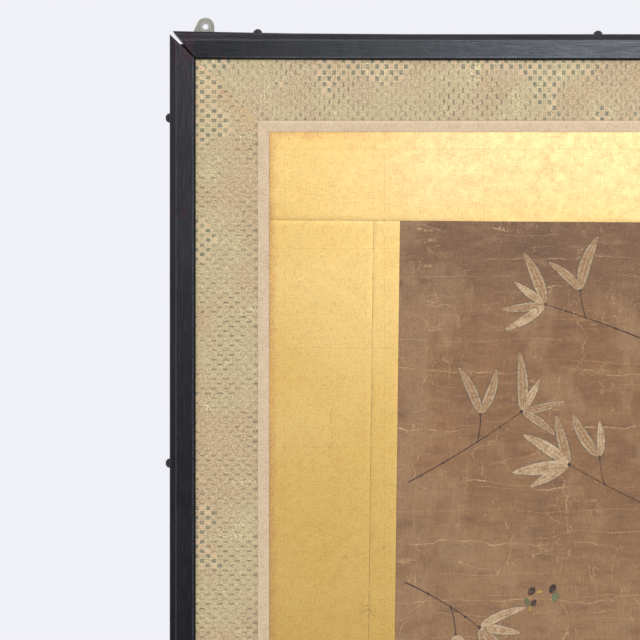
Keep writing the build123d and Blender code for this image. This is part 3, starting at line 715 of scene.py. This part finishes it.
def new_piece(name, points, faces, **marks):
    """A smooth-shaded mesh, with a number for each point under each mark's name."""
    mesh = bpy.data.meshes.new(name)
    mesh.from_pydata([tuple(point) for point in points], [], faces)
    for mark, values in marks.items():
        mesh.attributes.new(mark, "FLOAT", "POINT").data.foreach_set("value", values)
    mesh.shade_smooth()
    mesh.set_sharp_from_angle(angle=SHARP)
    mesh.update()
    return new_object(name, mesh)


def slab(rows, columns):
    """Border and faces of a closed slab over a grid of points.

    The foot of the slab has a point under each point of the border, after the grid's points.
    """
    border = list(range(columns))
    border += [row * columns + columns - 1 for row in range(1, rows)]
    border += [(rows - 1) * columns + column for column in range(columns - 2, -1, -1)]
    border += [row * columns for row in range(rows - 2, 0, -1)]
    foot, ring = rows * columns, len(border)
    faces = []
    for row in range(rows - 1):
        for column in range(columns - 1):
            first = row * columns + column
            faces.append((first, first + 1, first + columns + 1, first + columns))
    for here in range(ring):
        there = (here + 1) % ring
        faces.append((border[here], foot + here, foot + there, border[there]))
    faces.append(tuple(range(foot + ring - 1, foot - 1, -1)))
    return border, faces


def mirrored(faces, side):
    """The left panel mirrors the right one, so its faces run the other way round."""
    return [face[::-1] for face in faces] if side == "left" else faces


def lerp(a, b, share):
    """The point at a share of the way from a to b."""
    return tuple((1 - share) * x + share * y for x, y in zip(a, b))


def swell(s, z, side, height):
    """Gentle cockling of a pasted sheet, up to height either way."""
    shift = SIDE_SHIFT * SIDES[side]
    spot = Vector((s / COCKLE_SIZE + shift, z / COCKLE_SIZE, height * HEIGHT_SHIFT))
    return height * noise.noise(spot)


def shares(length):
    """Shares of a length for a grid's lines: even ones, and one a rim in from each end."""
    count = max(2, round(length / SHEET_PITCH))
    rim = RIM / length
    return [0.0, rim] + [step / count for step in range(1, count)] + [1 - rim, 1.0]


def pasted_sheet(name, side, corners, thickness, cockle):
    """A closed thin sheet, flat where it is pasted, its front cockled and its edges worn thin.

    corners run round the sheet from its low s and low z corner.
    """
    near_low, far_low, far_high, near_high = corners
    over = shares(min(abs(far_low[0] - near_low[0]), abs(far_high[0] - near_high[0])))
    upward = shares(abs(far_high[1] - near_low[1]))
    spots = [
        lerp(lerp(near_low, far_low, across), lerp(near_high, far_high, across), up)
        for up in upward
        for across in over
    ]
    border, faces = slab(len(upward), len(over))
    at_rim = set(border)
    points, rims = [], []
    for index, (s, z) in enumerate(spots):
        front = thickness * EDGE_SHARE if index in at_rim else thickness + swell(s, z, side, cockle)
        points.append(at(side, s, z, PASTE_DEPTH - front))
        rims.append(float(index not in at_rim))
    points += [at(side, *spots[index], PASTE_DEPTH) for index in border]
    rims += [0.0] * len(border)
    return new_piece(name, points, mirrored(faces, side), rim=rims)


def polygon_area(corners):
    turns = zip(corners, corners[1:] + corners[:1])
    return abs(sum(s0 * z1 - s1 * z0 for (s0, z0), (s1, z1) in turns)) / 2


def facing(name, side, corners, thickness, make, cockle, cloth=True):
    """A facing sheet that stands for the CAD sheet of the same name."""
    node = f"{side}_{name}"
    piece = pasted_sheet(f"{node}_facing", side, corners, thickness, cockle)
    dress(piece, make, side)
    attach(piece, f"{side}_panel")
    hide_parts(node)
    if cloth:
        tuple(sorted(max(places) - min(places) for places in zip(*corners)))
        polygon_area(corners)


# ---- Facings: brocade, band, gold leaf and painting ----

def border_strips(outer, inner):
    """Corners of the side, top and bottom strips between two margins, mitred outside."""
    low, inner_low = outer[1], inner[1]
    outer_s, outer_z = PANEL_WIDTH - outer[0], PANEL_HEIGHT - low
    inner_s, inner_z = PANEL_WIDTH - inner[0], PANEL_HEIGHT - inner_low
    return {
        "side": [(inner_s, inner_low), (outer_s, low), (outer_s, outer_z), (inner_s, inner_z)],
        "top": [(FACING_START, inner_z), (inner_s, inner_z), (outer_s, outer_z), (FACING_START, outer_z)],
        "bottom": [(FACING_START, low), (outer_s, low), (inner_s, inner_low), (FACING_START, inner_low)],
    }


def upright_seam(s_top, s_bottom):
    """The upper and lower ends of an upright seam between the two sloping ones."""
    return [
        (s, z + (s - painting_end) * tan(PAINTING_SLOPE))
        for s, z in ((s_top, seam_top), (s_bottom, seam_bottom))
    ]


def between(near, far):
    """Corners of the sheet between two upright seams."""
    return [near[1], far[1], far[0], near[0]]


band_end = PANEL_WIDTH - BROCADE_SIDE - BAND_WIDTH
fold_edge = upright_seam(FACING_START, FACING_START)
painting_near = upright_seam(PAINTING_MARGIN_FOLD, PAINTING_MARGIN_FOLD + lean)
painting_far = upright_seam(painting_end, painting_end + lean)
strip_far = upright_seam(strip_end, strip_end + lean)
band_edge = upright_seam(band_end, band_end)
leaf_top, leaf_bottom = PANEL_HEIGHT - band_margins[1], band_margins[1]
leaf_papers = {
    "top": [fold_edge[0], band_edge[0], (band_end, leaf_top), (FACING_START, leaf_top)],
    "bottom": [(FACING_START, leaf_bottom), (band_end, leaf_bottom), band_edge[1], fold_edge[1]],
    "side": between(strip_far, band_edge),
    "strip": between(painting_far, strip_far),
    "fold": between(fold_edge, painting_near),
}

for side in SIDES:
    for name, corners in border_strips((FRAME_BODY, FRAME_BODY), brocade_margins).items():
        facing(f"brocade_{name}", side, corners, BROCADE, brocade, BROCADE_COCKLE)
    for name, corners in border_strips(brocade_margins, band_margins).items():
        facing(f"silk_band_{name}", side, corners, SILK, plain_band, BAND_COCKLE)
    for name, corners in leaf_papers.items():
        name = f"gold_leaf_{name}"
        facing(name, side, corners, LEAF_PAPER, gold_leaf, LEAF_COCKLE, cloth=False)
    silk = between(painting_near, painting_far)
    facing("painting_silk", side, silk, SILK, old_silk, PAINTING_COCKLE)

# ---- Painting: sprays of bamboo grass under snow, and small tufts ----
# Each colour of a panel is one thin mesh that lies on the silk.
PAINT_LIFT = 0.00010
LIFT_STEP, LIFT_STEPS = 0.35, 5  # strokes that cross lie at different lifts
EDGE_LIFT = 0.3  # share of its lift that a stroke has at its edge
LEAST_WIDTH, STEM_WIDTH, TWIG_WIDTH = 0.0003, 0.0008, 0.0006  # half widths
STEM_TAPER = 0.00004  # what a stem's half width loses at each step
BLADE_COLUMNS = (-1.0, -0.75, -0.5, -0.25, 0.0, 0.25, 0.5, 0.75, 1.0)
BLADE_VEINS = (0.0, 0.0, 0.8, 0.0, 1.0, 0.0, 0.8, 0.0, 0.0)
ART_PAINTS = {
    "cream": paint("art_cream", ART_CREAM, ART_CREAM_SHADE, ART_OUTLINE, wear=0.55, hollow=0.45),
    "grey": paint("art_grey", ART_GREY, ART_GREY_SHADE, ART_OUTLINE, wear=0.60, hollow=0.80),
    "ink": paint("art_ink", ART_INK, ART_INK_SHADE, ART_INK_SHADE, wear=0.40),
    "ochre": paint("art_ochre", ART_OCHRE, ART_OCHRE_SHADE, ART_OUTLINE),
    "green": paint("art_green", ART_GREEN, ART_GREEN_SHADE, ART_OUTLINE),
}


class Brush:
    """Gathers painted shapes of one colour on one panel's silk into one mesh."""

    def __init__(self, side):
        self.side = side
        self.points, self.faces, self.rims, self.veins = [], [], [], []
        self.strokes = 0

    def on_silk(self, s, z, lift):
        cockle = swell(s, z, self.side, PAINTING_COCKLE)
        return at(self.side, s, z, PASTE_DEPTH - SILK - cockle - lift)

    def blade(self, path, widths):
        """A shape along a path of (s, z) points, with a half width at each."""
        lift = PAINT_LIFT * (1 + LIFT_STEP * (self.strokes % LIFT_STEPS))
        self.strokes += 1
        first = len(self.points)
        rows = len(path)
        border, faces = slab(rows, len(BLADE_COLUMNS))
        at_edge = set(border)
        spots = []
        for row, (s, z) in enumerate(path):
            (s0, z0), (s1, z1) = path[max(row - 1, 0)], path[min(row + 1, rows - 1)]
            run = hypot(s1 - s0, z1 - z0)
            square_s, square_z = -(z1 - z0) / run, (s1 - s0) / run
            for across, vein in zip(BLADE_COLUMNS, BLADE_VEINS):
                edge = len(spots) in at_edge
                spot = (s + square_s * widths[row] * across, z + square_z * widths[row] * across)
                spots.append(spot)
                self.points.append(self.on_silk(*spot, lift * (EDGE_LIFT if edge else 1.0)))
                self.rims.append(0.0 if edge else 0.5 + 0.5 * (abs(across) < 0.6))
                self.veins.append(0.0 if edge else vein)
        self.points += [self.on_silk(*spots[index], -PAINT_LIFT) for index in border]
        self.rims += [0.0] * len(border)
        self.veins += [0.0] * len(border)
        # A blade's columns run the other way round from a sheet's
        faces = [(face[0], *face[:0:-1]) for face in faces]
        self.faces += [tuple(first + index for index in face) for face in mirrored(faces, self.side)]

    def finish(self, color):
        name = f"{self.side}_art_{color}"
        piece = new_piece(name, self.points, self.faces, rim=self.rims, vein=self.veins)
        dress(piece, ART_PAINTS[color], self.side)
        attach(piece, f"{self.side}_panel")


def arc(s, z, heading, length, bend, count):
    """Points of a line from (s, z) whose heading turns by bend on the way, in degrees."""
    path = [(s, z)]
    for step in range(count):
        angle = radians(heading + bend * (step + 0.5) / count)
        s, z = s + cos(angle) * length / count, z + sin(angle) * length / count
        path.append((s, z))
    return path


def lance(count, half_width):
    """Half widths of a long leaf: widest a third of the way, and pointed."""
    widths = []
    for step in range(count + 1):
        share = step / count
        widths.append(max(LEAST_WIDTH, half_width * 2.3 * share**0.6 * (1 - share) ** 0.85))
    return widths


def oval(count, half_width):
    """Half widths of an oval."""
    return [max(LEAST_WIDTH, half_width * sin(pi * step / count) ** 0.6) for step in range(count + 1)]


def leaf(brushes, draw, s, z, heading):
    """One leaf of bamboo grass, mostly under snow."""
    length = draw.uniform(0.040, 0.066)
    color = "grey" if draw.random() < 0.3 else "cream"
    path = arc(s, z, heading, length, draw.uniform(-28, 28), 12)
    brushes[color].blade(path, lance(12, length * draw.uniform(0.115, 0.150)))


def dot(brush, s, z, radius):
    brush.blade(arc(s - radius, z, 0, 2 * radius, 0, 6), oval(6, radius))


def spray(brushes, draw, s, z, heading, length):
    """A bent stem with fans of leaves at its end and at a side twig."""
    ink = brushes["ink"]
    stem = arc(s, z, heading, length, draw.uniform(-22, 22), 10)
    ink.blade(stem, [STEM_WIDTH - STEM_TAPER * step for step in range(11)])
    for joint in (3, 6, 8):
        dot(ink, *stem[joint], draw.uniform(0.0013, 0.0019))
    for turn in (-62, -24, 14, 50):
        leaf(brushes, draw, *stem[-1], heading + turn + draw.uniform(-9, 9))
    twig_side = draw.choice((-1, 1))
    twig = arc(*stem[6], heading + 48 * twig_side, 0.030, 16 * twig_side, 6)
    ink.blade(twig, [TWIG_WIDTH] * 7)
    for turn in (-30, 22):
        leaf(brushes, draw, *twig[-1], heading + 55 * twig_side + turn + draw.uniform(-8, 8))
    dot(ink, *stem[-1], 0.0022)
    dot(ink, *twig[-1], 0.0016)


def tuft(brushes, draw, s, z):
    """A few small round leaves, some of them dark."""
    for color in ("ink", "ochre", "green", "ink", "ochre", "ink", "green"):
        angle = draw.uniform(20, 160)
        place = (s + draw.uniform(-0.020, 0.020), z + draw.uniform(-0.010, 0.014))
        length = draw.uniform(0.007, 0.012)
        brushes[color].blade(arc(*place, angle, length, 10, 6), oval(6, length * 0.33))


# Where each spray's stem starts (s, z), its heading in degrees from outward, and its length
SPRAYS = {
    "left": (
        (0.672, 1.196, 152, 0.145),
        (0.415, 1.350, 22, 0.115),
        (0.676, 1.088, 204, 0.095),
        (0.400, 1.165, 24, 0.110),
        (0.300, 1.385, 200, 0.110),
        (0.130, 1.250, 40, 0.140),
        (0.300, 0.950, 100, 0.120),
        (0.678, 0.800, 165, 0.140),
        (0.130, 0.700, 25, 0.130),
        (0.480, 0.560, 60, 0.120),
        (0.650, 0.420, 130, 0.110),
    ),
    "right": (
        (0.110, 1.380, -15, 0.140),
        (0.640, 1.390, 215, 0.120),
        (0.420, 1.180, 75, 0.130),
        (0.120, 1.020, 30, 0.120),
        (0.674, 1.020, 160, 0.140),
        (0.330, 0.820, 200, 0.120),
        (0.500, 0.700, 20, 0.100),
        (0.150, 0.560, 55, 0.130),
        (0.500, 0.420, 120, 0.120),
    ),
}
TUFTS = {
    "left": ((0.530, 1.062), (0.600, 0.300), (0.420, 0.270), (0.200, 0.310)),
    "right": ((0.260, 1.260), (0.180, 0.270), (0.380, 0.310), (0.610, 0.280)),
}
ART_SEEDS = {"left": 71, "right": 72}
for side in SIDES:
    draw = Random(ART_SEEDS[side])
    brushes = {color: Brush(side) for color in ART_PAINTS}
    for place in SPRAYS[side]:
        spray(brushes, draw, *place)
    for place in TUFTS[side]:
        tuft(brushes, draw, *place)
    for color, brush in brushes.items():
        brush.finish(color)

# ---- CAD pieces that keep their shape ----
KEPT = {
    lacquer: ("frame_stile", "frame_top_rail", "frame_bottom_rail"),
    iron: ("stile_tacks", "top_rail_tacks"),
    zinc: ("wall_plate", "wall_plate_screws"),
    cedar: (
        "core_fold_stile",
        "core_outer_stile",
        "core_top_rail",
        "core_bottom_rail",
        "core_vertical_ribs",
        "core_horizontal_ribs",
    ),
    lining: ("front_lining", "back_lining"),
    back_paper: ("back_paper",),
}
for side in SIDES:
    for make, names in KEPT.items():
        for name in names:
            dress(frame["nodes"][f"{side}_{name}"], make, side)

# ---- Paper hinge ----
# Each strip is one piece, from the face of one panel through the fold to the edge
# and back of the other.
strip_pitch = (PANEL_HEIGHT - 2 * HINGE_END_MARGIN + HINGE_STRIP_GAP) / HINGE_STRIPS
strip_length = strip_pitch - HINGE_STRIP_GAP
STRIP_LEVELS = 12
# (s, depth) along the middle of the paper, from the fold outward
FACE_WAY = ((0.0009, 0.0010), (0.0020, 0.0034), (0.0030, 0.0044), (HINGE_FLANGE, 0.0044))
EDGE_WAY = (
    (0.0009, 0.0010),
    (0.0022, 0.0044),
    (0.0022, 0.0204),
    (0.0026, 0.0214),
    (0.0034, 0.0216),
    (HINGE_FLANGE, 0.0216),
)
FOLD_DEPTH = -0.0002
CREASE_DEPTH = 0.0022  # the paper is creased in front of this


def hinge_strip(index):
    """One strip of the hinge. Every other one starts on the left panel's face."""
    face_side, edge_side = ("left", "right") if index % 2 == 0 else ("right", "left")
    way = [(face_side, s, depth) for s, depth in reversed(FACE_WAY)]
    way.append((face_side, 0.0, FOLD_DEPTH))
    way += [(edge_side, s, depth) for s, depth in EDGE_WAY]
    middle = [at(side, s, 0, depth) for side, s, depth in way]
    low = HINGE_END_MARGIN + index * strip_pitch
    last = len(middle) - 1
    points, faces, behind, creased = [], [], [], []
    for step, point in enumerate(middle):
        along = (middle[min(step + 1, last)] - middle[max(step - 1, 0)]).normalized()
        square = Vector((-along.y, along.x, 0)) * (HINGE_PAPER / 2)
        for face in (-1, 1):
            for level in range(STRIP_LEVELS + 1):
                height = Vector((0, 0, low + strip_length * level / STRIP_LEVELS))
                points.append(point + square * face + height)
                behind.append(float(step > len(FACE_WAY) + 1))
                creased.append(float(way[step][2] < CREASE_DEPTH))

    def quad(turned, *corners):
        """A face between four points, each given by its step, face and level."""
        indices = tuple((step * 2 + face) * (STRIP_LEVELS + 1) + level for step, face, level in corners)
        faces.append(indices[::-1] if turned else indices)

    for a in range(last):
        b = a + 1
        for level in range(STRIP_LEVELS):
            up = level + 1
            for face in (0, 1):
                quad(face == 1, (a, face, level), (b, face, level), (b, face, up), (a, face, up))
        for level, turned in ((0, True), (STRIP_LEVELS, False)):
            quad(turned, (a, 0, level), (b, 0, level), (b, 1, level), (a, 1, level))
    for end, turned in ((0, False), (last, True)):
        for level in range(STRIP_LEVELS):
            quad(turned, (end, 0, level), (end, 0, level + 1), (end, 1, level + 1), (end, 1, level))
    piece = new_piece(f"hinge_strip_{index + 1}", points, faces, behind=behind, creased=creased)
    dress(piece, hinge_paper, "left")
    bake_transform(piece)
    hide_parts("left_paper_hinge", "right_paper_hinge")


for index in range(HINGE_STRIPS):
    hinge_strip(index)

# ---- Camera, floor and light ----
FLOOR_RADIUS = 3.0
FLOOR_COLOR, FLOOR_ROUGHNESS = (0.72, 0.72, 0.73, 1.0), 0.6
SKY_COLOR = (0.872, 0.880, 0.925, 1.0)
VIEW_WIDTH = 0.6912  # how much of the left panel's face the picture spans
LENS = 85.0
SENSOR = 36.0
AIM_S, AIM_Z = 0.7674, 1.37174
middle_of_view = at("left", AIM_S, AIM_Z, 0)


def floor():
    bpy.ops.mesh.primitive_circle_add(vertices=96, radius=FLOOR_RADIUS, fill_type="NGON")
    disc = bpy.context.object
    disc.name = "floor"
    made = bpy.data.materials.new("floor_paint")
    made.use_nodes = True
    shader = made.node_tree.nodes["Principled BSDF"]
    shader.inputs["Base Color"].default_value = FLOOR_COLOR
    shader.inputs["Roughness"].default_value = FLOOR_ROUGHNESS
    disc.data.materials.append(made)


def area_light(name, place, target, size, power, color):
    data = bpy.data.lights.new(name, "AREA")
    data.shape = "DISK"
    data.size = size
    data.energy = power
    data.color = color
    lamp = new_object(name, data)
    lamp.location = place
    lamp.rotation_euler = (target - place).to_track_quat("-Z", "Y").to_euler()


def camera():
    """Square to the left panel's face."""
    data = bpy.data.cameras.new("camera")
    data.lens = LENS
    data.sensor_width = SENSOR
    data.clip_end = 50
    eye = new_object("camera", data)
    eye.location = middle_of_view - backward("left") * (VIEW_WIDTH * LENS / SENSOR)
    eye.rotation_euler = backward("left").to_track_quat("-Z", "Y").to_euler()
    bpy.context.scene.camera = eye


def world():
    made = bpy.data.worlds.new("studio")
    made.use_nodes = True
    sky = made.node_tree.nodes["Background"]
    sky.inputs["Color"].default_value = SKY_COLOR
    sky.inputs["Strength"].default_value = 1.0
    bpy.context.scene.world = made


floor()
camera()
world()
# The key light stands in front of the view, to its right and above it
key_place = middle_of_view - backward("left") * 2.6 - outward("left") * 0.96 + Vector((0, 0, 0.92))
area_light("key", key_place, middle_of_view, size=1.0, power=33, color=(0.92, 0.96, 1.0))
fill_place, fill_target = Vector((1.4, -2.6, 2.4)), Vector((0.4, 0, 0.9))
area_light("fill", fill_place, fill_target, size=1.6, power=26, color=(0.98, 0.99, 1.0))
back_place, back_target = Vector((-1.2, 2.6, 2.2)), Vector((0, 0.1, 0.9))
area_light("back_fill", back_place, back_target, size=1.6, power=40, color=(1.0, 0.99, 0.97))
scene = bpy.context.scene
scene.view_settings.view_transform = "Standard"
scene.view_settings.look = "None"
